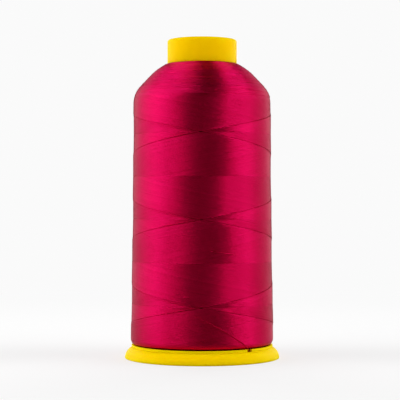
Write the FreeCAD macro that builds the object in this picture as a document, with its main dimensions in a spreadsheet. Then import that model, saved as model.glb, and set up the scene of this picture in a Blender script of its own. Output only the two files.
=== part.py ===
import FreeCAD, Part
import math
import os

import Sketcher
from FreeCAD import Placement, Rotation, Vector

# King spool of thread, in millimetres. It stands on its foot, +Z is up along the spool's axis, and the
# origin is the centre of the foot's resting face. The thread's loose end lies towards -Y and +X.

SIZES = {
    # whole spool
    "total_height": 127.0,
    # moulded core: neck, barrel, web and flange
    "neck_radius": 13.86,
    "neck_bore_radius": 12.3,
    "rim_round": 0.9,
    "bore_round": 0.5,
    "barrel_low_radius": 15.4,
    "flange_radius": 26.7,
    "flange_under": 4.1,
    "flange_edge": 0.4,
    "web_top": 119.0,
    "web_under": 117.5,
    "hub_radius": 6.4,
    "hub_top": 121.0,
    "spindle_radius": 5.0,
    "rib_top": 120.4,
    "rib_width": 1.2,
    "web_ribs": 6,
    "bore_low_radius": 13.4,
    "socket_radius": 13.6,
    "socket_top": 16.6,
    "pocket_radius": 14.5,
    "pocket_low": 9.0,
    "pocket_high": 13.4,
    "pocket_angle": 46,
    # snap foot: domed ring, web, sleeve with snap fingers
    "foot_radius": 30.85,
    "foot_edge": 0.35,
    "foot_inner_radius": 29.3,
    "dome_round": 4.67,
    "dome_top": 4.1,
    "dome_top_radius": 28.6,
    "lip_radius": 28.2,
    "lip_top": 5.4,
    "lip_edge": 0.2,
    "lip_bore_radius": 27.3,
    "foot_web_top": 3.9,
    "foot_web_under": 2.6,
    "skirt_bore_radius": 27.7,
    "sleeve_radius": 13.4,
    "sleeve_bore_radius": 12.1,
    "sleeve_top": 15.0,
    "collar_radius": 14.0,
    "collar_low": 0.8,
    "fingers": 4,
    "slot_width": 2.0,
    "bead_radius": 14.2,
    "bead_low": 12.2,
    "bead_high": 13.2,
    "bead_angle": 40,
    "gussets": 12,
    "gusset_width": 1.0,
    "gusset_reach": 25.9,
    "notch_width": 2.4,
    "notch_low": 4.4,
    "notch_azimuth": 40.5,
    # wound thread
    "package_low": 5.5,
    "package_low_radius": 27.2,
    "package_corner": 2.6,
    "package_corner_top": 7.8,
    "package_radius": 28.6,
    "package_waist_round": 5500,
    "shoulder_low": 101.5,
    "shoulder_low_radius": 27.53,
    "shoulder_round": 10.0,
    "slope_low": 108.32,
    "slope_low_radius": 24.84,
    "slope_top": 112.4,
    "slope_top_radius": 21.0,
    "crown_round": 23.8,
    "crown_top": 117.25,
    "crown_top_radius": 14.6,
    "package_top": 117.4,
    # thread's loose end
    "thread_width": 0.3,
    "tail_bedding": 0.05,
    # paper ring
    "label_radius": 25.0,
    "label_bore_radius": 14.6,
    "label_thickness": 0.12,
}

doc = FreeCAD.newDocument("thread_spool")
sheet = doc.addObject("Spreadsheet::Sheet", "sizes")
for row, (alias, size) in enumerate(SIZES.items(), start=1):
    sheet.set(f"A{row}", alias)
    sheet.set(f"B{row}", str(size))
    sheet.setAlias(f"B{row}", alias)
doc.recompute()


def number(text):
    """The value of a sum of sheet cells and numbers, such as 'sleeve_top - 0.2'."""
    total = 0.0
    sign = 1
    for word in str(text).split():
        if word in ("+", "-"):
            sign = 1 if word == "+" else -1
        else:
            total += sign * float(sheet.get(word) if word in SIZES else word)
    return total


def formula(text):
    """The same sum as an expression on the sheet."""
    return " ".join(f"sizes.{word}" if word in SIZES else word for word in str(text).split())


def bind(target, path, text):
    target.setExpression(path, formula(text))


def origin_feature(body, role):
    return next(feature for feature in body.Origin.OriginFeatures if feature.Role == role)


def arc_between(start, end, radius, side):
    """Arc of a circle from start to end whose centre lies on the left (side 1) or right (side -1)."""
    chord = end - start
    middle = (start + end) * 0.5
    rise = math.sqrt(radius ** 2 - (chord.Length / 2) ** 2)
    left = Vector(-chord.y, chord.x, 0).normalize()
    centre = middle + left * rise * side
    circle = Part.Circle(centre, Vector(0, 0, 1), radius)
    first, last = (start, end) if side == 1 else (end, start)
    return Part.ArcOfCircle(circle, circle.parameter(first), circle.parameter(last))


def outline(body, name, corners, azimuth=None):
    """Closed sketch in a plane through the body's axis.

    Each corner is (radius, height) or (radius, height, round, side), where the edge that leaves the
    corner is an arc of that radius. Every coordinate and radius is bound to the sheet.
    """
    sketch = body.newObject("Sketcher::SketchObject", name)
    sketch.AttachmentSupport = [(origin_feature(body, "XZ_Plane"), "")]
    sketch.MapMode = "FlatFace"
    if azimuth is not None:
        sketch.AttachmentOffset = Placement(Vector(), Rotation(Vector(0, 1, 0), number(azimuth)))
        bind(sketch, "AttachmentOffset.Rotation.Angle", azimuth)
    points = [Vector(number(corner[0]), number(corner[1]), 0) for corner in corners]
    begins = []
    for index, corner in enumerate(corners):
        start = points[index]
        end = points[(index + 1) % len(points)]
        if len(corner) == 4:
            side = corner[3]
            sketch.addGeometry(arc_between(start, end, number(corner[2]), side), False)
            begins.append(1 if side == 1 else 2)
        else:
            sketch.addGeometry(Part.LineSegment(start, end), False)
            begins.append(1)
    for index, corner in enumerate(corners):
        following = (index + 1) % len(corners)
        meets = Sketcher.Constraint(
            "Coincident", index, 3 - begins[index], following, begins[following])
        sketch.addConstraint(meets)
        if len(corner) == 4:
            held = sketch.addConstraint(Sketcher.Constraint("Radius", index, number(corner[2])))
            bind(sketch, f"Constraints[{held}]", corner[2])
        for axis, text in (("DistanceX", corner[0]), ("DistanceY", corner[1])):
            place = Sketcher.Constraint(axis, -1, 1, index, begins[index], number(text))
            held = sketch.addConstraint(place)
            bind(sketch, f"Constraints[{held}]", text)
    return sketch


def turned(body, name, corners, kind="Revolution", angle=None):
    """Solid, or groove, of an outline turned about the body's axis, or through a bound angle."""
    sketch = outline(body, name + "_outline", corners)
    feature = body.newObject("PartDesign::" + kind, name)
    feature.Profile = sketch
    feature.ReferenceAxis = (sketch, ["V_Axis"])
    feature.Angle = 360
    if angle is not None:
        feature.Midplane = True
        bind(feature, "Angle", angle)
    return feature


def straight(body, name, corners, width, kind="Pad", azimuth=None):
    """Pad, or pocket, of an outline, equally to both sides of its plane."""
    feature = body.newObject("PartDesign::" + kind, name)
    feature.Profile = outline(body, name + "_outline", corners, azimuth)
    feature.SideType = "Symmetric"
    bind(feature, "Length", width)
    return feature


def repeated(body, feature, count):
    """The feature repeated evenly round the body's axis."""
    pattern = body.newObject("PartDesign::PolarPattern", feature.Name + "_ring")
    pattern.Originals = [feature]
    pattern.Axis = (origin_feature(body, "Z_Axis"), [""])
    pattern.Angle = 360
    bind(pattern, "Occurrences", count)
    body.Tip = pattern
    return pattern


def rectangle(inner, outer, low, high):
    """Corners of an upright rectangle, anticlockwise."""
    return [(inner, low), (outer, low), (outer, high), (inner, high)]


def new_body(label):
    body = doc.addObject("PartDesign::Body", label)
    body.Label = label
    body.Placement = Placement()
    return body


def volume_of(body):
    doc.recompute()
    return body.Shape.Volume


def make_core():
    """Moulded tube: bare neck, drafted barrel under the thread, flange, spindle web, snap socket."""
    body = new_body("core")
    turned(body, "core_wall", [
        ("socket_radius", "flange_under"),
        ("flange_radius - flange_edge", "flange_under"),
        ("flange_radius", "flange_under + flange_edge"),
        ("flange_radius", "package_low"),
        ("barrel_low_radius", "package_low"),
        ("neck_radius", "package_top"),
        ("neck_radius", "total_height - rim_round", "rim_round", 1),
        ("neck_radius - rim_round", "total_height"),
        ("neck_bore_radius + bore_round", "total_height", "bore_round", 1),
        ("neck_bore_radius", "total_height - bore_round"),
        ("neck_bore_radius", "web_top"),
        ("hub_radius", "web_top"),
        ("hub_radius", "hub_top"),
        ("spindle_radius", "hub_top"),
        ("spindle_radius", "web_under"),
        ("neck_bore_radius", "web_under"),
        ("bore_low_radius", "socket_top + 0.4"),
        ("socket_radius", "socket_top"),
    ])
    before = volume_of(body)
    rib = straight(body, "web_rib", rectangle(
        "hub_radius - 0.3", "neck_bore_radius + 0.3", "web_top - 0.3", "rib_top"), "rib_width")
    repeated(body, rib, "web_ribs")
    ribbed = volume_of(body)
    # blind pockets in the socket wall, in which the foot's beads travel between two stops
    pocket = turned(body, "bead_pocket", rectangle(
        "socket_radius - 0.3", "pocket_radius", "pocket_low", "pocket_high"), "Groove", "pocket_angle")
    repeated(body, pocket, "fingers")
    report_step("web ribs", before, ribbed, 1)
    report_step("bead pockets", ribbed, volume_of(body), -1)
    return body


def make_foot():
    """Domed foot ring with a lip round the flange, a web under it, and a sleeve of snap fingers."""
    body = new_body("snap_foot")
    turned(body, "foot_wall", [
        ("foot_inner_radius", "0"),
        ("foot_radius - foot_edge", "0", "foot_edge", 1),
        ("foot_radius", "foot_edge", "dome_round", 1),
        ("dome_top_radius", "dome_top"),
        ("lip_radius", "dome_top + lip_edge"),
        ("lip_radius", "lip_top - lip_edge", "lip_edge", 1),
        ("lip_radius - lip_edge", "lip_top"),
        ("lip_bore_radius", "lip_top"),
        ("lip_bore_radius", "foot_web_top"),
        ("sleeve_radius", "foot_web_top"),
        ("sleeve_radius", "sleeve_top"),
        ("sleeve_bore_radius", "sleeve_top"),
        ("sleeve_bore_radius", "collar_low"),
        ("collar_radius", "collar_low"),
        ("collar_radius", "foot_web_under"),
        ("skirt_bore_radius", "foot_web_under"),
    ])
    before = volume_of(body)
    bead = turned(body, "finger_bead", [
        ("sleeve_radius - 0.3", "bead_low"),
        ("bead_radius", "bead_low"),
        ("bead_radius", "bead_low + 0.4"),
        ("sleeve_radius - 0.3", "bead_high"),
    ], "Revolution", "bead_angle")
    repeated(body, bead, "fingers")
    beaded = volume_of(body)
    slot = straight(body, "finger_slot", rectangle(
        "sleeve_bore_radius - 1", "sleeve_radius + 1", "lip_top", "sleeve_top + 1"),
        "slot_width", "Pocket", "45")
    repeated(body, slot, "fingers")
    slotted = volume_of(body)
    gusset = straight(body, "skirt_gusset", [
        ("gusset_reach", "foot_web_under + 0.3"),
        ("foot_inner_radius - 1", "foot_edge + 0.4"),
        ("foot_inner_radius - 0.3", "foot_edge + 0.4"),
        ("foot_inner_radius - 0.3", "foot_web_under + 0.3"),
    ], "gusset_width")
    repeated(body, gusset, "gussets")
    braced = volume_of(body)
    straight(body, "thread_notch", rectangle(
        "lip_bore_radius - 0.1", "lip_radius + 1", "notch_low", "lip_top + 1"),
        "notch_width", "Pocket", "notch_azimuth - 90")
    report_step("finger beads", before, beaded, 1)
    report_step("finger slots", beaded, slotted, -1)
    report_step("skirt gussets", slotted, braced, 1)
    report_step("thread notch", braced, volume_of(body), -1)
    return body


def make_wound_thread():
    """The package of thread: slightly waisted side, rounded shoulder and crown up to the neck."""
    body = new_body("wound_thread")
    turned(body, "package", [
        ("barrel_low_radius", "package_low"),
        ("package_low_radius", "package_low", "package_corner", 1),
        ("package_radius", "package_corner_top", "package_waist_round", -1),
        ("shoulder_low_radius", "shoulder_low", "shoulder_round", 1),
        ("slope_low_radius", "slope_low"),
        ("slope_top_radius", "slope_top", "crown_round", 1),
        ("crown_top_radius", "crown_top"),
        ("neck_radius", "package_top"),
    ])
    return body


def make_label():
    """Thin paper ring stuck to the underside of the foot's web."""
    disc = doc.addObject("Part::Cylinder", "label_disc")
    hole = doc.addObject("Part::Cylinder", "label_hole")
    for cylinder, radius in ((disc, "label_radius"), (hole, "label_bore_radius")):
        bind(cylinder, "Radius", radius)
        bind(cylinder, "Height", "label_thickness")
    ring = doc.addObject("Part::Cut", "paper_label")
    ring.Label = "paper_label"
    ring.Base = disc
    ring.Tool = hole
    bind(ring, "Placement.Base.z", "foot_web_under - label_thickness")
    return ring


def rounded_path(points):
    """Wire of straight runs joined by arcs that are as large as the runs leave room for."""
    edges = []
    here = points[0]
    for before, corner, after in zip(points, points[1:], points[2:]):
        back = (before - corner).normalize()
        ahead = (after - corner).normalize()
        turn = math.pi - back.getAngle(ahead)
        reach = 0.45 * min(before.distanceToPoint(corner), after.distanceToPoint(corner))
        radius = reach / math.tan(turn / 2)
        first = corner + back * reach
        last = corner + ahead * reach
        bisector = (back + ahead).normalize()
        middle = corner + bisector * (radius / math.cos(turn / 2) - radius)
        edges.append(Part.LineSegment(here, first).toShape())
        edges.append(Part.Arc(first, middle, last).toShape())
        here = last
    edges.append(Part.LineSegment(here, points[-1]).toShape())
    return Part.Wire(edges)


def make_tail():
    """The thread's loose end: down across the package, through the lip's notch, under the flange.

    Its stations are (azimuth from -Y towards +X in degrees, radius of its middle line, height).
    """
    lies_at = number("package_radius + thread_width - tail_bedding") - number("thread_width") / 2
    taper = 0.011
    stations = [
        (azimuth, lies_at - taper * (height - number("package_corner_top")), height)
        for azimuth, height in ((-6, 18.9), (-0.5, 17.6), (6, 15.9), (12.5, 14.1), (19, 12.3),
                                (25, 10.6), (30.5, 8.9), (35, 7.4))]
    gap_middle = (number("flange_radius") + number("lip_bore_radius")) / 2
    stations += [(38.3, lies_at - 0.35, 6.1), (40, gap_middle + 0.75, 5.35), (41, gap_middle, 4.75),
                 (41.4, gap_middle, 4.25)]
    points = []
    for azimuth, radius, height in stations:
        angle = math.radians(azimuth)
        points.append(Vector(radius * math.sin(angle), -radius * math.cos(angle), height))
    path = rounded_path(points)
    radius = number("thread_width") / 2
    section = Part.Wire(Part.Circle(points[0], points[1] - points[0], radius).toShape())
    tail = doc.addObject("Part::Feature", "thread_tail")
    tail.Label = "thread_tail"
    tail.Shape = path.makePipeShell([section], True, False)
    tail.Placement = Placement()
    expected = math.pi * radius ** 2 * path.Length
    print(f"thread tail: {path.Length:.1f} mm, volume {tail.Shape.Volume:.3f} for {expected:.3f}")
    return tail


def report_step(name, before, after, sign):
    change = sign * (after - before)
    if change <= 0:
        raise RuntimeError(f"{name} changed nothing")
    print(f"{name}: {sign * change:+.1f} mm3")


def check_and_write(pieces):
    """Every object recomputed without failure, every piece whole, then one STEP file for each."""
    doc.recompute()
    for item in doc.Objects:
        if "Invalid" in item.State or "Error" in item.State:
            raise RuntimeError(f"{item.Name} failed: {item.State}")
    os.makedirs("parts", exist_ok=True)
    for piece in pieces:
        shape = piece.Shape
        if shape.isNull() or not shape.isValid() or not shape.Solids:
            raise RuntimeError(f"{piece.Label} has no valid solid")
    for piece in pieces:
        box = piece.Shape.optimalBoundingBox(True, False)
        print(f"{piece.Label}: {piece.Shape.Volume / 1000:.2f} cm3, {len(piece.Shape.Solids)} solid, "
              f"{box.XLength:.2f} x {box.YLength:.2f} x {box.ZLength:.2f}")
        piece.Shape.exportStep(f"parts/{piece.Label}.step")


check_and_write([make_core(), make_foot(), make_wound_thread(), make_label(), make_tail()])
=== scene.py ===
import math

import bpy
import numpy as np
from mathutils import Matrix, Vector


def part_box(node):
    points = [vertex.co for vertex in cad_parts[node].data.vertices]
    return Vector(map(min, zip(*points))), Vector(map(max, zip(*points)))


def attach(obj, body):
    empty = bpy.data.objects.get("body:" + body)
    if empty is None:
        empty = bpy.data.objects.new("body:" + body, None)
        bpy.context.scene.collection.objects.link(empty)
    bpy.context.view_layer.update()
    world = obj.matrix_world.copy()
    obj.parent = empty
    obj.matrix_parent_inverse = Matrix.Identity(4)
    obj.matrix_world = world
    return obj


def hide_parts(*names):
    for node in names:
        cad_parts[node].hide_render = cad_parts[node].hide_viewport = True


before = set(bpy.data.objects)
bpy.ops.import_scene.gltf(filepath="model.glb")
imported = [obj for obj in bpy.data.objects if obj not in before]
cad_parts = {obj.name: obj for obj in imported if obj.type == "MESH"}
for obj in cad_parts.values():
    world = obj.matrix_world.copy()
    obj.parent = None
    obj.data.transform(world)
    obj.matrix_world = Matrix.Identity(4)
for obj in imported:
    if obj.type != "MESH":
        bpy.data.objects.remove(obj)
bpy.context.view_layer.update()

MM = 0.001
TURN = 2 * math.pi
rng = np.random.default_rng(40)

# ---------------------------------------------------------------- sizes read from the frame
package_low, package_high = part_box("wound_thread")
# the part's own radii of the core, which the package's bore follows from its foot up to the neck
NECK_RADIUS = 13.86 * MM
BARREL_FOOT_RADIUS = 15.4 * MM


def outer_profile(node, bore_low, bore_high):
    """Ring heights and radii of a turned CAD node's outside, told from its tapered bore."""
    clear_of_bore = 0.1 * MM
    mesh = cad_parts[node].data
    corners = np.empty(len(mesh.vertices) * 3)
    mesh.vertices.foreach_get("co", corners)
    corners = corners.reshape(-1, 3)
    radius = np.hypot(corners[:, 0], corners[:, 1])
    level = np.round(corners[:, 2], 5)
    heights = np.unique(level)
    radii = np.array([radius[level == height].max() for height in heights])
    bore = np.interp(heights, [heights[0], heights[-1]], [bore_low, bore_high])
    outside = radii > bore + clear_of_bore
    return np.append(heights[outside], heights[-1]), np.append(radii[outside], radii[-1])


PROFILE_HEIGHTS, PROFILE_RADII = outer_profile("wound_thread", BARREL_FOOT_RADIUS, NECK_RADIUS)
# the lowest turns bulge over the flange, so the corner is a little fuller than the plain solid's
BULGE = 0.45 * MM
BULGE_HEIGHT = 1.3 * MM


def surface_radius(height):
    """The package's radius at that height."""
    plain = np.interp(height, PROFILE_HEIGHTS, PROFILE_RADII)
    above = np.clip((height - package_low.z) / BULGE_HEIGHT, 0, 1)
    return plain + BULGE * (1 - above) ** 2


def surface_tilt(height):
    """Angle by which the package's surface leans back from upright at that height."""
    step = 0.4 * MM
    below = surface_radius(height - step)
    above = surface_radius(height + step)
    return np.arctan2(below - above, 2 * step)


# ---------------------------------------------------------------- thread and how it was wound
THREAD_WIDTH = 0.33 * MM
THREAD_THICKNESS = 0.20 * MM
LEAD = 33.6 * MM              # rise of the traverse in one turn of the spool
LOW_APEX = package_low.z - 0.4 * MM
TURNS_PER_STROKE = 3
HIGH_APEX = LOW_APEX + TURNS_PER_STROKE * LEAD
STROKES = 112                 # double strokes that lie side by side over one lead
FIRST_AZIMUTH = math.radians(180)     # where the last round of strokes began
ADVANCE = -1                  # each double stroke starts this way round from the last
REVERSAL = math.radians(20)   # half the turn over which the traverse changes direction
BUILD_UP = 0.30 * MM          # growth of the package's radius over one round of strokes
SINK = 0.24 * MM              # how far a turn dives to pass under its neighbours
DIVE_EARLY = 0.006            # how early, in rounds of strokes, a turn starts to dive
DIVE_RUN = 0.02               # the share of a round over which it does so
END_MARGIN = 2                # steps that a stroke goes on under the newer turns
LAST_START = math.radians(4.5)    # how far past the last full round one more double stroke begins
HEIGHT_WAVES = (0.7, 1.9, 4.3)    # how quickly a stroke drifts up and down as it turns
STEP = TURN / 120             # turn from one ring of a tube to the next
TUBE_SIDES = 6
TWIST_PITCH_MM = 1.2          # length in which the two plies go once round each other
PLY_RADIUS = 0.075 * MM       # of each ply of the loose end
# fine near-level turns on the shoulder
SHOULDER_SPACING = 0.27 * MM
SHOULDER_WIDTH = 0.30 * MM
SHOULDER_DEPTH = 0.07 * MM    # how far inside the package's surface they lie
# painted light: the shoulder's turns are coloured lighter so that the shoulder looks brighter
SHOULDER_PAINTED_LIGHT = 2.2           # lighter than the strokes, whose tone is 0 on average
PROUD_SHARE = 0.25            # this share of them stands out a little, and is also coloured lighter as a painted highlight
PROUD_HEIGHT = 0.07 * MM
# painted highlight: how much lighter again the proud turns are coloured
PROUD_PAINTED_HIGHLIGHT = 2.1
SHOULDER_BELOW = 1.9 * MM     # how far under the traverse's upper end they begin
SHOULDER_NECK_GAP = 0.25 * MM     # how far short of the neck they stop
SHOULDER_SPANS = (50, 150)    # degrees that one of them runs
SHOULDER_OVERLAP = 0.88       # each begins at this share of the last one's run
# how the tubes lie side by side in the map that their colour is baked to
BAKE_ROWS = 110               # about how many rows of tubes there are
ROW_SLACK = 1.05              # a row is this much longer than it has to be
ROW_MARGIN = 0.08             # share of a row left empty on each side of its tubes
TUBE_SLACK = 1.01             # a tube takes up this much more than its length
# loose strays: (azimuth from, azimuth to, height from, height to) in degrees and mm
STRAYS = [(-57, -46, 49.9, 48.6), (-15, -9, 25.9, 25.6), (7, 27, 43.3, 42.1)]
# the part's own stations for the loose end: (azimuth, radius, height) in degrees and mm
TAIL_STATIONS = [
    (-6, 28.58, 18.9), (-0.5, 28.59, 17.6), (6, 28.61, 15.9), (12.5, 28.63, 14.1),
    (19, 28.65, 12.3), (25, 28.67, 10.6), (30.5, 28.69, 8.9), (35, 28.70, 7.4),
    (38.3, 28.35, 6.1), (40, 27.75, 5.35), (41, 27.0, 4.75), (41.4, 27.0, 4.25),
]


def place(azimuth, radius, height):
    """Points at an azimuth counted from -Y towards +X."""
    return np.stack([radius * np.sin(azimuth), -radius * np.cos(azimuth), height], axis=-1)


class Bundle:
    """Closed tubes of thread that become one mesh."""

    def __init__(self, name):
        self.name = name
        self.tubes = []

    def add(self, azimuth, height, depth, tone, width=THREAD_WIDTH, thickness=THREAD_THICKNESS):
        """A tube whose outermost side lies depth inside the package's surface."""
        tilt = surface_tilt(height)
        outward = np.stack([np.cos(tilt) * np.sin(azimuth), -np.cos(tilt) * np.cos(azimuth),
                            np.sin(tilt)], axis=-1)
        centres = place(azimuth, surface_radius(height), height)
        centres -= outward * (depth + thickness / 2)[:, None]
        self.add_path(centres, outward, tone, width, thickness)

    def add_path(self, centres, outward, tone, width, thickness):
        """A tube round a line of centres, flat to the surface whose outward directions are given."""
        along = np.gradient(centres, axis=0)
        along /= np.linalg.norm(along, axis=1)[:, None]
        across = np.cross(along, outward)
        across /= np.linalg.norm(across, axis=1)[:, None]
        angle = TURN * (np.arange(TUBE_SIDES) + 0.5) / TUBE_SIDES + TURN / 4
        half_width = width / 2 / np.cos(math.pi / TUBE_SIDES)
        rings = (centres[:, None, :]
                 + across[:, None, :] * (half_width * np.cos(angle))[None, :, None]
                 + outward[:, None, :] * (thickness / 2 * np.sin(angle))[None, :, None])
        run = np.concatenate([[0], np.cumsum(np.linalg.norm(np.diff(centres, axis=0), axis=1))])
        self.tubes.append((rings, run, tone))

    def build(self, material):
        """One piece of all the tubes, with its lay, its bake map and the tone of each tube."""
        lengths = [run[-1] for _, run, _ in self.tubes]
        row_length = max(max(lengths), sum(lengths) / BAKE_ROWS) * ROW_SLACK
        places = lay_in_rows(lengths, row_length)
        rows = places[-1][0] + 1
        corner_lists, size_lists, lay, bake, tones = [], [], [], [], []
        base = 0
        for (_, run, tone), (row, offset) in zip(self.tubes, places):
            tube_corners, tube_sizes = tube_faces(len(run), base)
            corner_lists.append(tube_corners)
            size_lists.append(tube_sizes)
            along, around = tube_map(run)
            lay.append(np.stack([along / MM, around], axis=-1))
            in_row = ROW_MARGIN + (1 - 2 * ROW_MARGIN) * around
            bake.append(np.stack([(offset + along) / row_length, (row + in_row) / rows], axis=-1))
            tones.append(np.full(len(run) * TUBE_SIDES, tone))
            base += len(run) * TUBE_SIDES
        points = np.concatenate([rings.reshape(-1, 3) for rings, _, _ in self.tubes])
        corners = np.concatenate(corner_lists)
        sizes = np.concatenate(size_lists)
        mesh = bpy.data.meshes.new(self.name)
        mesh.vertices.add(len(points))
        mesh.vertices.foreach_set("co", points.astype(np.float32).ravel())
        mesh.loops.add(len(corners))
        mesh.loops.foreach_set("vertex_index", corners.astype(np.int32))
        mesh.polygons.add(len(sizes))
        starts = np.concatenate([[0], np.cumsum(sizes)[:-1]])
        mesh.polygons.foreach_set("loop_start", starts.astype(np.int32))
        mesh.update(calc_edges=True)
        for layer, values in (("Lay", lay), ("OFBake", bake)):
            uv = mesh.uv_layers.new(name=layer)
            uv.data.foreach_set("uv", np.concatenate(values).astype(np.float32).ravel())
        attribute = mesh.attributes.new("tone", "FLOAT", "POINT")
        attribute.data.foreach_set("value", np.concatenate(tones).astype(np.float32))
        return finish_piece(self.name, mesh, material)


def tube_faces(count, base):
    """Corner indices and face sizes of a closed tube of that many rings, counted from base."""
    side = np.arange(TUBE_SIDES)
    after = (side + 1) % TUBE_SIDES
    first = base + np.arange(count - 1)[:, None] * TUBE_SIDES
    quads = np.stack([first + side, first + after, first + TUBE_SIDES + after,
                      first + TUBE_SIDES + side], axis=-1).reshape(-1)
    start_cap = base + side[::-1]
    end_cap = base + (count - 1) * TUBE_SIDES + side
    sizes = np.concatenate([np.full((count - 1) * TUBE_SIDES, 4), [TUBE_SIDES] * 2])
    return np.concatenate([quads, start_cap, end_cap]), sizes


def tube_map(run):
    """Metres along the tube, and 0 to 1 around it, at each face corner of tube_faces."""
    side = np.arange(TUBE_SIDES)
    shape = (len(run) - 1, TUBE_SIDES)
    near = np.broadcast_to(run[:-1, None], shape)
    far = np.broadcast_to(run[1:, None], shape)
    low = np.broadcast_to(side / TUBE_SIDES, shape)
    high = low + 1 / TUBE_SIDES
    along = np.stack([near, near, far, far], axis=-1).reshape(-1)
    around = np.stack([low, high, high, low], axis=-1).reshape(-1)
    cap_along = np.concatenate([np.full(TUBE_SIDES, 0.0), np.full(TUBE_SIDES, run[-1])])
    cap_around = np.concatenate([side[::-1], side]) / TUBE_SIDES
    return np.concatenate([along, cap_along]), np.concatenate([around, cap_around])


def finish_piece(name, mesh, material):
    """The mesh, shaded smooth, as an object of the scene."""
    mesh.polygons.foreach_set("use_smooth", np.ones(len(mesh.polygons), bool))
    mesh.materials.append(material)
    mesh.validate()
    piece = bpy.data.objects.new(name, mesh)
    bpy.context.scene.collection.objects.link(piece)
    return piece


def lay_in_rows(lengths, row_length):
    """(row, offset) of each length, laid end to end in rows of one length."""
    places, row, offset = [], 0, 0.0
    for length in lengths:
        if offset + length > row_length:
            row, offset = row + 1, 0.0
        places.append((row, offset))
        offset += length * TUBE_SLACK
    return places


def age_rank(azimuth, height, rising):
    """When the rising or falling turns last covered that spot: 0 first, nearly 1 last."""
    travelled = (height - LOW_APEX) if rising else (HIGH_APEX - height)
    started = azimuth - TURN * travelled / LEAD
    return np.mod(ADVANCE * (started - FIRST_AZIMUTH) / TURN, 1.0)


def rounded_apex(turned):
    """Height gained after turning that far from a reversal, which is rounded."""
    slope = LEAD / TURN
    inside = slope * (REVERSAL + turned ** 2 / REVERSAL) / 2
    return np.where(turned < REVERSAL, inside, slope * turned)


def traverse(rising):
    """Turned angle and height along one stroke."""
    stroke = TURN * TURNS_PER_STROKE
    turned = np.arange(0, stroke + STEP / 2, STEP)
    from_start = rounded_apex(turned)
    from_end = rounded_apex(stroke - turned)
    height = np.where(turned < stroke / 2, LOW_APEX + from_start, HIGH_APEX - from_end)
    if not rising:
        height = LOW_APEX + HIGH_APEX - height
    return turned, height


def wander(turned, reach, waves):
    """Slow random drift along a turn."""
    drift = np.zeros_like(turned)
    for wave in waves:
        drift += np.sin(turned * wave + rng.uniform(0, TURN)) * rng.uniform(0.4, 1.0)
    return drift * reach / len(waves)


def smooth_step(share):
    """0 to 1 with level ends."""
    share = np.clip(share, 0, 1)
    return share * share * (3 - 2 * share)


def runs_of(mask, least=4):
    """(first, last) of each unbroken stretch that is at least that long."""
    edges = np.flatnonzero(np.diff(np.concatenate([[0], mask.astype(int), [0]])))
    return [(a, b) for a, b in zip(edges[::2], edges[1::2]) if b - a >= least]


def wind_strokes(rising, lower, upper):
    """The last round of strokes one way, cut off where they are well under the other way's turns."""
    turned, ideal = traverse(rising)
    middle = (LOW_APEX + HIGH_APEX) / 2
    for stroke in range(STROKES):
        rank = stroke / STROKES
        start = FIRST_AZIMUTH + ADVANCE * TURN * rank
        azimuth = start + turned
        height = ideal + wander(turned, 0.05 * MM, HEIGHT_WAVES)
        height = np.clip(height, package_low.z + 0.05 * MM, None)
        # above 0 where this stroke is newer than the other way's turns, so lies on them
        lead = rank - age_rank(azimuth, ideal, not rising)
        hidden = smooth_step((DIVE_EARLY - lead) / DIVE_RUN)
        # the first strokes lie deep already, so they dive less
        dive = SINK * min(1, 0.3 + 12 * rank)
        depth = BUILD_UP * (1 - rank) + hidden * np.maximum(0, dive + BUILD_UP * np.minimum(lead, 0))
        depth = depth + wander(turned, 0.012 * MM, (1.3, 3.1, 7.7)) + 0.012 * MM
        tone = rng.normal(0, 1)
        shown = lead > 0
        for shift in range(1, END_MARGIN + 1):
            shown[shift:] |= lead[:-shift] > 0
            shown[:-shift] |= lead[shift:] > 0
        for first, last in runs_of(shown):
            stretch = slice(first, last)
            bundle = lower if ideal[stretch].mean() < middle else upper
            bundle.add(azimuth[stretch], height[stretch], depth[stretch], tone)


def wind_last_turns(bundle):
    """The double stroke begun after the last full round, which lies on top of the older turns."""
    for rising in (True, False):
        turned, height = traverse(rising)
        azimuth = FIRST_AZIMUTH + ADVANCE * LAST_START + turned
        height = height + wander(turned, 0.10 * MM, HEIGHT_WAVES)
        height = np.clip(height, package_low.z + 0.15 * MM, None)
        depth = wander(turned, 0.02 * MM, (1.3, 3.1)) + 0.09 * MM
        bundle.add(azimuth, height, depth, tone=rng.normal(0, 1))


def lay_strays(bundle):
    """Short ends of thread that stand out on the front of the package."""
    along = np.linspace(0, 1, 14)
    for start, end, high, low in STRAYS:
        azimuth = np.radians(start + (end - start) * along)
        height = (high + (low - high) * along) * MM
        # the last eighth at each end dives back among the turns
        ends = smooth_step(np.abs(2 * along - 1) * 4 - 3)
        bundle.add(azimuth, height, SINK * ends - 0.5 * THREAD_THICKNESS, tone=1.5)


def lay_tail(bundle):
    """The loose end: two plies twisted round each other along the CAD tail's stations."""
    azimuth, radius, height = np.array(TAIL_STATIONS).T
    stations = place(np.radians(azimuth), radius * MM, height * MM)
    run = np.concatenate([[0], np.cumsum(np.linalg.norm(np.diff(stations, axis=0), axis=1))])
    along = np.arange(0, run[-1], 0.1 * MM)
    path = np.stack([np.interp(along, run, stations[:, axis]) for axis in range(3)], axis=-1)
    # its bends are rounded by averaging over a short way
    window = np.hanning(27)
    window /= window.sum()
    half = len(window) // 2
    padded = np.concatenate([np.repeat(path[:1], half, axis=0), path,
                             np.repeat(path[-1:], half, axis=0)])
    path = np.stack([np.convolve(padded[:, axis], window, "valid") for axis in range(3)], axis=-1)
    outward = path * (1, 1, 0)
    outward /= np.linalg.norm(outward, axis=1)[:, None]
    heading = np.gradient(path, axis=0)
    heading /= np.linalg.norm(heading, axis=1)[:, None]
    aside = np.cross(heading, outward)
    for ply in (0, math.pi):
        phase = (TURN * along / (TWIST_PITCH_MM * MM) + ply)[:, None]
        offset = PLY_RADIUS * (np.cos(phase) * aside + np.sin(phase) * outward)
        bundle.add_path(path + offset, outward, tone=1.2, width=2 * PLY_RADIUS,
                        thickness=2 * PLY_RADIUS)


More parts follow.
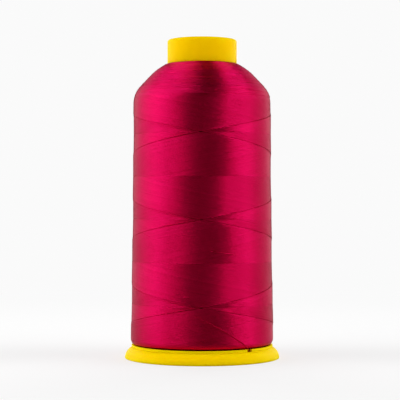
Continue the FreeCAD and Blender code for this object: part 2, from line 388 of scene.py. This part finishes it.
def wind_shoulder(bundle):
    """Near-level turns on the shoulder, where the traverse turned back while the package grew."""
    heights = np.linspace(HIGH_APEX - SHOULDER_BELOW, package_high.z, 2000)
    radii = surface_radius(heights)
    slope_run = np.concatenate([[0], np.cumsum(np.hypot(np.diff(heights), np.diff(radii)))])
    for up_slope in np.arange(0, slope_run[-1] - SHOULDER_NECK_GAP, SHOULDER_SPACING):
        azimuth = rng.uniform(0, TURN)
        end = azimuth + TURN
        while azimuth < end:
            span = math.radians(rng.uniform(*SHOULDER_SPANS))
            turned = np.arange(0, span, STEP)
            middle = (turned - span / 2) / (span / 2)     # -1 to 1 along the turn
            drift = wander(turned, 0.03 * MM, (1.1, 2.7)) + rng.normal(0, 0.015 * MM)
            slant = rng.normal(0.04, 0.03) * MM * middle * ADVANCE
            where = np.clip(up_slope + drift + slant, 0, slope_run[-1] - 0.1 * MM)
            height = np.interp(where, slope_run, heights)
            # the last tenth at each end dives out of sight
            ends = smooth_step((np.abs(middle) - 0.80) / 0.20)
            proud = rng.random() < PROUD_SHARE
            depth = SHOULDER_DEPTH + SINK * ends + wander(turned, 0.015 * MM, (1.7, 4.1))
            # painted light: a lighter tone on the shoulder's turns, and a painted highlight on the proud
            # ones
            tone = rng.normal(SHOULDER_PAINTED_LIGHT, 1)
            if proud:
                depth -= PROUD_HEIGHT
                tone += PROUD_PAINTED_HIGHLIGHT
            bundle.add(azimuth + turned, height, depth, tone, SHOULDER_WIDTH, SHOULDER_WIDTH)
            azimuth += span * SHOULDER_OVERLAP


# ---------------------------------------------------------------- materials
def srgb(red, green, blue):
    """Linear colour of three values on the 0 to 255 scale."""
    def linear(value):
        value /= 255
        return value / 12.92 if value <= 0.04045 else ((value + 0.055) / 1.055) ** 2.4
    return (linear(red), linear(green), linear(blue), 1.0)


CRIMSON = srgb(208, 27, 90)
LIGHT_CRIMSON = srgb(230, 35, 107)
# painted shade in the crease between the two plies
PLY_GROOVE_SHADE = srgb(120, 4, 36)
# painted shade: the older turns under the last ones are coloured darker, and darker still between turns
UNDER_CRIMSON_SHADED = srgb(170, 12, 60)
UNDER_SHADE = srgb(110, 2, 30)
CORE_YELLOW = srgb(254, 194, 2)
CORE_YELLOW_DEEP = srgb(252, 188, 1)
FOOT_YELLOW = srgb(253, 203, 2)
FOOT_YELLOW_DEEP = srgb(251, 197, 1)
PAPER = srgb(250, 248, 242)
PAPER_SHADE = srgb(232, 229, 220)
# how far light spreads inside the moulded plastic; less in the foot, whose lip is thin
CORE_SCATTER = 5 * MM
FOOT_SCATTER = 3 * MM


class Nodes:
    """Short names for building one material's nodes."""

    def __init__(self, name):
        self.material = bpy.data.materials.new(name)
        self.material.use_nodes = True
        self.tree = self.material.node_tree
        self.shader = self.tree.nodes["Principled BSDF"]

    def new(self, kind, **settings):
        """A new node, with values for its inputs or its own settings."""
        node = self.tree.nodes.new(kind)
        for name, value in settings.items():
            if name in node.inputs:
                node.inputs[name].default_value = value
            else:
                setattr(node, name, value)
        return node

    def link(self, source, target):
        """A wire from one socket to another."""
        self.tree.links.new(source, target)

    def mix(self, factor, first, second):
        """Colour between two others."""
        node = self.new("ShaderNodeMix", data_type="RGBA")
        # sockets 6 and 7 are the two colours, sockets before them have the same names
        for value, socket in ((factor, node.inputs["Factor"]), (first, node.inputs[6]),
                              (second, node.inputs[7])):
            if isinstance(value, bpy.types.NodeSocket):
                self.link(value, socket)
            else:
                socket.default_value = value
        return node.outputs[2]

    def math(self, operation, first, second=0.0, third=0.0):
        """Result of a sum on values or sockets."""
        node = self.new("ShaderNodeMath", operation=operation)
        for value, socket in zip((first, second, third), node.inputs):
            if isinstance(value, bpy.types.NodeSocket):
                self.link(value, socket)
            else:
                socket.default_value = value
        return node.outputs[0]


def thread_material():
    """Bright filament thread: dyed filaments that shine along their own length, in two twisted plies."""
    n = Nodes("crimson_thread")
    # each tube's tone: its own random tone, and on the shoulder also painted light
    tone = n.new("ShaderNodeAttribute", attribute_name="tone")
    shade = n.math("MULTIPLY_ADD", tone.outputs["Fac"], 0.12, 0.5)
    colour = n.mix(shade, CRIMSON, LIGHT_CRIMSON)
    lay = n.new("ShaderNodeUVMap", uv_map="Lay")
    split = n.new("ShaderNodeSeparateXYZ")
    n.link(lay.outputs["UV"], split.inputs[0])
    twist = n.math("MULTIPLY_ADD", split.outputs["X"], 1 / TWIST_PITCH_MM, split.outputs["Y"])
    ply = n.math("SINE", n.math("MULTIPLY", twist, 2 * TURN))
    fibres = n.new("ShaderNodeTexNoise", Scale=5200.0, Detail=2.0)
    coordinates = n.new("ShaderNodeTexCoord")
    n.link(coordinates.outputs["Object"], fibres.inputs["Vector"])
    relief = n.math("MULTIPLY_ADD", ply, 0.5, n.math("MULTIPLY", fibres.outputs["Fac"], 0.6))
    bump = n.new("ShaderNodeBump", Strength=0.3, Distance=0.02 * MM)
    n.link(relief, bump.inputs["Height"])
    n.link(bump.outputs["Normal"], n.shader.inputs["Normal"])
    # painted shade: the colour darkens where the two plies meet
    groove_shade = n.math("MULTIPLY_ADD", ply, -0.1, 0.1)
    n.link(n.mix(groove_shade, colour, PLY_GROOVE_SHADE), n.shader.inputs["Base Color"])
    n.shader.inputs["Metallic"].default_value = 1.0
    n.shader.inputs["Specular Tint"].default_value = (1.0, 1.0, 0.9, 1)
    n.shader.inputs["Roughness"].default_value = 0.33
    return n.material


def package_material():
    """The thread's older turns, seen only between the last ones, coloured darker than them as painted
    shade.
    """
    n = Nodes("crimson_under")
    coordinates = n.new("ShaderNodeTexCoord")
    wave = n.new("ShaderNodeTexWave", bands_direction="Z", Scale=1050.0, Distortion=1.5, Detail=2.0)
    n.link(coordinates.outputs["Object"], wave.inputs["Vector"])
    bump = n.new("ShaderNodeBump", Strength=0.6, Distance=0.06 * MM)
    n.link(wave.outputs["Fac"], bump.inputs["Height"])
    n.link(bump.outputs["Normal"], n.shader.inputs["Normal"])
    # painted shade: darker in the grooves between the turns' bands
    n.link(n.mix(wave.outputs["Fac"], UNDER_SHADE, UNDER_CRIMSON_SHADED), n.shader.inputs["Base Color"])
    n.shader.inputs["Metallic"].default_value = 0.9
    n.shader.inputs["Roughness"].default_value = 0.4
    return n.material


def plastic_material(name, colour, deep, scatter):
    """Satin moulded plastic: faint flow mottling and a fine spark-eroded grain."""
    n = Nodes(name)
    coordinates = n.new("ShaderNodeTexCoord")
    flow = n.new("ShaderNodeTexNoise", Scale=90.0, Detail=3.0)
    grain = n.new("ShaderNodeTexNoise", Scale=2600.0, Detail=2.0)
    for noise in (flow, grain):
        n.link(coordinates.outputs["Object"], noise.inputs["Vector"])
    n.link(n.mix(flow.outputs["Fac"], deep, colour), n.shader.inputs["Base Color"])
    roughness = n.math("MULTIPLY_ADD", grain.outputs["Fac"], 0.12, 0.44)
    n.link(roughness, n.shader.inputs["Roughness"])
    bump = n.new("ShaderNodeBump", Strength=0.12, Distance=0.03 * MM)
    n.link(grain.outputs["Fac"], bump.inputs["Height"])
    n.link(bump.outputs["Normal"], n.shader.inputs["Normal"])
    n.shader.inputs["Specular IOR Level"].default_value = 0.08
    n.shader.inputs["Specular Tint"].default_value = (1.0, 0.7, 0.05, 1)
    n.shader.inputs["Subsurface Weight"].default_value = 1.0
    n.shader.inputs["Subsurface Radius"].default_value = (1.0, 0.9, 0.1)
    n.shader.inputs["Subsurface Scale"].default_value = scatter
    return n.material


def paper_material():
    """Matt paper with short fibres."""
    n = Nodes("blank_paper")
    coordinates = n.new("ShaderNodeTexCoord")
    fibres = n.new("ShaderNodeTexNoise", Scale=900.0, Detail=4.0)
    n.link(coordinates.outputs["Object"], fibres.inputs["Vector"])
    n.link(n.mix(fibres.outputs["Fac"], PAPER_SHADE, PAPER), n.shader.inputs["Base Color"])
    bump = n.new("ShaderNodeBump", Strength=0.2, Distance=0.02 * MM)
    n.link(fibres.outputs["Fac"], bump.inputs["Height"])
    n.link(bump.outputs["Normal"], n.shader.inputs["Normal"])
    n.shader.inputs["Roughness"].default_value = 0.85
    return n.material


# ---------------------------------------------------------------- pieces
def turned_solid(name, outline, material, segments=160):
    """Closed ring turned from an outline of (radius, height) corners."""
    count = len(outline)
    points, faces = [], []
    for segment in range(segments):
        azimuth = TURN * segment / segments
        for radius, height in outline:
            points.append((radius * math.sin(azimuth), -radius * math.cos(azimuth), height))
        following = (segment + 1) % segments
        for corner in range(count):
            after = (corner + 1) % count
            faces.append((segment * count + corner, following * count + corner,
                          following * count + after, segment * count + after))
    mesh = bpy.data.meshes.new(name)
    mesh.from_pydata(points, [], faces)
    return finish_piece(name, mesh, material)


def make_package(thread):
    """The wound thread: a body of older turns and the last turns that cover it."""
    under = BUILD_UP + THREAD_THICKNESS
    inset = 0.02 * MM
    heights = np.linspace(package_low.z + inset, package_high.z - inset, 90)
    outline = [(max(surface_radius(height) - under, NECK_RADIUS + inset), height) for height in heights]
    # its hidden bore reaches just into the core, so no gap can show
    outline.append((NECK_RADIUS - 0.2 * MM, heights[-1]))
    outline.append((BARREL_FOOT_RADIUS - 0.1 * MM, heights[0]))
    body = turned_solid("package_body", outline, package_material())
    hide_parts("wound_thread")
    bundles = {name: Bundle(name) for name in (
        "rising_turns_lower", "rising_turns_upper", "falling_turns_lower", "falling_turns_upper",
        "shoulder_turns", "last_turns")}
    wind_strokes(True, bundles["rising_turns_lower"], bundles["rising_turns_upper"])
    wind_strokes(False, bundles["falling_turns_lower"], bundles["falling_turns_upper"])
    wind_shoulder(bundles["shoulder_turns"])
    wind_last_turns(bundles["last_turns"])
    lay_strays(bundles["last_turns"])
    pieces = [body] + [bundle.build(thread) for bundle in bundles.values()]
    tail = Bundle("twisted_tail")
    lay_tail(tail)
    tail_piece = tail.build(thread)
    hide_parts("thread_tail")
    for piece in pieces + [tail_piece]:
        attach(piece, "spool")
    return pieces


def dress_plastic_and_paper():
    """Materials for the CAD pieces that are shown as they are."""
    finishes = {
        "core": plastic_material("yellow_core", CORE_YELLOW, CORE_YELLOW_DEEP, CORE_SCATTER),
        "snap_foot": plastic_material("yellow_foot", FOOT_YELLOW, FOOT_YELLOW_DEEP, FOOT_SCATTER),
        "paper_label": paper_material(),
    }
    for node, material in finishes.items():
        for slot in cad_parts[node].material_slots:
            slot.material = material


# ---------------------------------------------------------------- stage, lights and camera
ROOM_WHITE = 0.957
# the photograph's contrast: linear values and what they are shown as
TONE_CURVE = [(0.02, 0.007), (0.14, 0.115), (0.40, 0.41), (0.80, 0.80), (ROOM_WHITE, ROOM_WHITE)]
FLOOR_SIZE = 6
FLOOR_GLOW = 0.70
FLOOR_PAINTED_SHADE = -0.055            # painted shade: the floor's glow is slightly darker along a line behind the spool
# where behind the spool the painted shade line lies, and how wide it is
SHADE_LINE_OFFSET = 0.010
SHADE_LINE_WIDTH = 0.035
FLOOR_FADE = (0.12, 0.40)     # distances between which the floor blends into the room
FLOOR_GREY = (0.30, 0.30, 0.30, 1)    # what the lamps light, where the soft shadow shows
FLOOR_BOUNCE = (0.57, 0.57, 0.57, 1)  # what the spool sees of the floor
PANEL_DISTANCE = 0.60
PANEL_SPREAD = 22             # degrees of azimuth that one soft panel covers
# three rows of panels: how high they reach, and how brightly the panel at each azimuth glows.
# The sides are bright and the front is dark, which draws the dark band down the thread.
LOW_HEIGHTS = (0.01, 0.50)
HIGH_HEIGHTS = (0.25, 0.60)
TOP_HEIGHTS = (0.60, 1.00)
LOW_PANELS = {-144: 0.75, -122: 1.1, -100: 1.9, -78: 2.4, 78: 2.1, 100: 0.95, 122: 0.85, 144: 0.9}
HIGH_PANELS = {-78: 0.1, -56: 2.9, -34: 1.0, 34: 0.25, 56: 3.3, 78: 0.6}
TOP_PANELS = {-100: 1.5, -78: 1.5, -56: 1.5, -34: 0.3, 34: 0.3, 56: 1.3, 78: 1.5, 100: 1.5}
# even light all round each plastic piece, which the thread does not get
FILL_GLOW = {"core": 0.80, "snap_foot": 0.92}
FILL_SPREAD = 60
# light from above the camera that only the foot gets
OVERHEAD_GLOW = 0.36
OVERHEAD_SPREAD = 70
OVERHEAD_HEIGHTS = (0.01, 0.80)
OVERHEAD_PLACE = (0, -0.35, 0.75)
# light from above and a little left that only the windings get: it shows the shoulder's turns
ABOVE_GLOW = 2.1
ABOVE_SPREAD = 30
ABOVE_HEIGHTS = (0.60, 0.90)
ABOVE_PLACE = (-0.18, -0.08, 0.72)
# light from behind that only the floor gets: it draws the soft shadow in front of the foot
BACK_GLOW = 3.2
BACK_SPREAD = 80
BACK_HEIGHTS = (0.35, 0.95)
ROOM_GLOW = 0.02              # what the white room adds to the lamps' light
# the photo's view, nearly level with the middle of the spool
CAMERA_LENS = 128.2
CAMERA_PLACE = (-0.84 * MM, -0.570, 0.063)


def make_stage():
    """A pale floor that blends into the white of the room a short way off, with a painted shade line
    behind the spool.
    """
    bpy.ops.mesh.primitive_plane_add(size=FLOOR_SIZE, location=(0, 0, 0))
    floor = bpy.context.object
    floor.name = "floor"
    n = Nodes("pale_floor")
    coordinates = n.new("ShaderNodeTexCoord")
    split = n.new("ShaderNodeSeparateXYZ")
    n.link(coordinates.outputs["Object"], split.inputs[0])
    away = n.new("ShaderNodeVectorMath", operation="LENGTH")
    n.link(coordinates.outputs["Object"], away.inputs[0])
    fade = n.new("ShaderNodeMapRange", interpolation_type="SMOOTHSTEP")
    n.link(away.outputs["Value"], fade.inputs["Value"])
    fade.inputs["From Min"].default_value = FLOOR_FADE[0]
    fade.inputs["From Max"].default_value = FLOOR_FADE[1]
    # painted shade: a soft darker line in the floor's glow behind the spool
    shade_line_distance = n.math("DIVIDE", n.math("ADD", split.outputs["Y"], -SHADE_LINE_OFFSET), SHADE_LINE_WIDTH)
    painted_shade_line = n.math("POWER", math.e, n.math("MULTIPLY", n.math("MULTIPLY", shade_line_distance, shade_line_distance), -1.0))
    paper = n.math("MULTIPLY_ADD", painted_shade_line, FLOOR_PAINTED_SHADE, FLOOR_GLOW)
    glow = n.new("ShaderNodeEmission")
    n.link(paper, glow.inputs["Strength"])
    n.shader.inputs["Base Color"].default_value = FLOOR_GREY
    n.shader.inputs["Roughness"].default_value = 0.9
    n.shader.inputs["Specular IOR Level"].default_value = 0.0
    near = n.new("ShaderNodeAddShader")
    n.link(glow.outputs[0], near.inputs[0])
    n.link(n.shader.outputs[0], near.inputs[1])
    far = n.new("ShaderNodeEmission", Strength=ROOM_WHITE)
    seen = n.new("ShaderNodeMixShader")
    n.link(fade.outputs["Result"], seen.inputs[0])
    n.link(near.outputs[0], seen.inputs[1])
    n.link(far.outputs[0], seen.inputs[2])
    bounce = n.new("ShaderNodeBsdfDiffuse")
    bounce.inputs["Color"].default_value = FLOOR_BOUNCE
    path = n.new("ShaderNodeLightPath")
    choice = n.new("ShaderNodeMixShader")
    n.link(path.outputs["Is Camera Ray"], choice.inputs[0])
    n.link(bounce.outputs[0], choice.inputs[1])
    n.link(seen.outputs[0], choice.inputs[2])
    output = n.tree.nodes["Material Output"]
    n.link(choice.outputs[0], output.inputs["Surface"])
    floor.data.materials.append(n.material)
    return floor


def soft_panel(name, azimuth, spread, heights, glow):
    """Upright soft panel that faces the spool from an azimuth counted from -Y towards +X."""
    bottom, top = heights
    light = bpy.data.lights.new(name, "AREA")
    light.shape = "RECTANGLE"
    light.size = 2 * PANEL_DISTANCE * math.tan(math.radians(spread / 2))
    light.size_y = top - bottom
    light.energy = glow * math.pi * light.size * light.size_y
    lamp = bpy.data.objects.new(name, light)
    toward = Vector((math.sin(math.radians(azimuth)), -math.cos(math.radians(azimuth)), 0))
    lamp.location = toward * PANEL_DISTANCE + Vector((0, 0, (bottom + top) / 2))
    lamp.rotation_euler = (-toward).to_track_quat("-Z", "Y").to_euler()
    lamp.visible_camera = False
    bpy.context.scene.collection.objects.link(lamp)
    return lamp


def move_above(lamp, location):
    """The lamp at that place, turned to face the origin."""
    lamp.location = location
    lamp.rotation_euler = (-lamp.location).to_track_quat("-Z", "Y").to_euler()


def light_only(lamps, name, pieces):
    """The lamps light only those pieces."""
    receivers = bpy.data.collections.new(f"lit_{name}")
    for piece in pieces:
        receivers.objects.link(piece)
    for lamp in lamps:
        lamp.light_linking.receiver_collection = receivers


def make_lights(floor, windings):
    """Rows of panels for everything, and a few lamps that light one piece each."""
    rows = (("low", LOW_PANELS, LOW_HEIGHTS), ("high", HIGH_PANELS, HIGH_HEIGHTS),
            ("top", TOP_PANELS, TOP_HEIGHTS))
    for row, panels, heights in rows:
        for azimuth, glow in panels.items():
            soft_panel(f"{row}_panel_{azimuth}", azimuth, PANEL_SPREAD, heights, glow)
    for node, glow in FILL_GLOW.items():
        fills = [soft_panel(f"fill_{node}_{azimuth}", azimuth, FILL_SPREAD, LOW_HEIGHTS, glow)
                 for azimuth in range(0, 360, FILL_SPREAD)]
        light_only(fills, node, [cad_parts[node]])
    overhead = soft_panel("overhead_snap_foot", 0, OVERHEAD_SPREAD, OVERHEAD_HEIGHTS, OVERHEAD_GLOW)
    move_above(overhead, OVERHEAD_PLACE)
    light_only([overhead], "snap_foot_from_above", [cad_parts["snap_foot"]])
    above = soft_panel("above_shoulder", 0, ABOVE_SPREAD, ABOVE_HEIGHTS, ABOVE_GLOW)
    move_above(above, ABOVE_PLACE)
    light_only([above], "windings", windings)
    back = soft_panel("back", 180, BACK_SPREAD, BACK_HEIGHTS, BACK_GLOW)
    light_only([back], "floor", [floor])


def make_room():
    """A white room that the camera sees and that lights the spool hardly at all."""
    world = bpy.data.worlds.new("white_room")
    bpy.context.scene.world = world
    world.use_nodes = True
    tree = world.node_tree
    background = tree.nodes["Background"]
    background.inputs["Color"].default_value = (1, 1, 1, 1)
    path = tree.nodes.new("ShaderNodeLightPath")
    strength = tree.nodes.new("ShaderNodeMapRange")
    strength.inputs["To Min"].default_value = ROOM_GLOW
    strength.inputs["To Max"].default_value = ROOM_WHITE
    tree.links.new(path.outputs["Is Camera Ray"], strength.inputs["Value"])
    tree.links.new(strength.outputs["Result"], background.inputs["Strength"])


def make_camera():
    """A level camera at the photo's angle, and the photo's contrast."""
    camera = bpy.data.cameras.new("camera")
    camera.sensor_width = 36
    camera.lens = CAMERA_LENS
    viewer = bpy.data.objects.new("camera", camera)
    viewer.location = CAMERA_PLACE
    viewer.rotation_euler = (math.pi / 2, 0, 0)
    bpy.context.scene.collection.objects.link(viewer)
    bpy.context.scene.camera = viewer
    view = bpy.context.scene.view_settings
    view.view_transform = "Standard"
    view.use_curve_mapping = True
    contrast = view.curve_mapping.curves[3]
    for light, shown in TONE_CURVE:
        contrast.points.new(light, shown)
    view.curve_mapping.update()


make_camera()
windings = make_package(thread_material())
dress_plastic_and_paper()
make_lights(make_stage(), windings)
make_room()
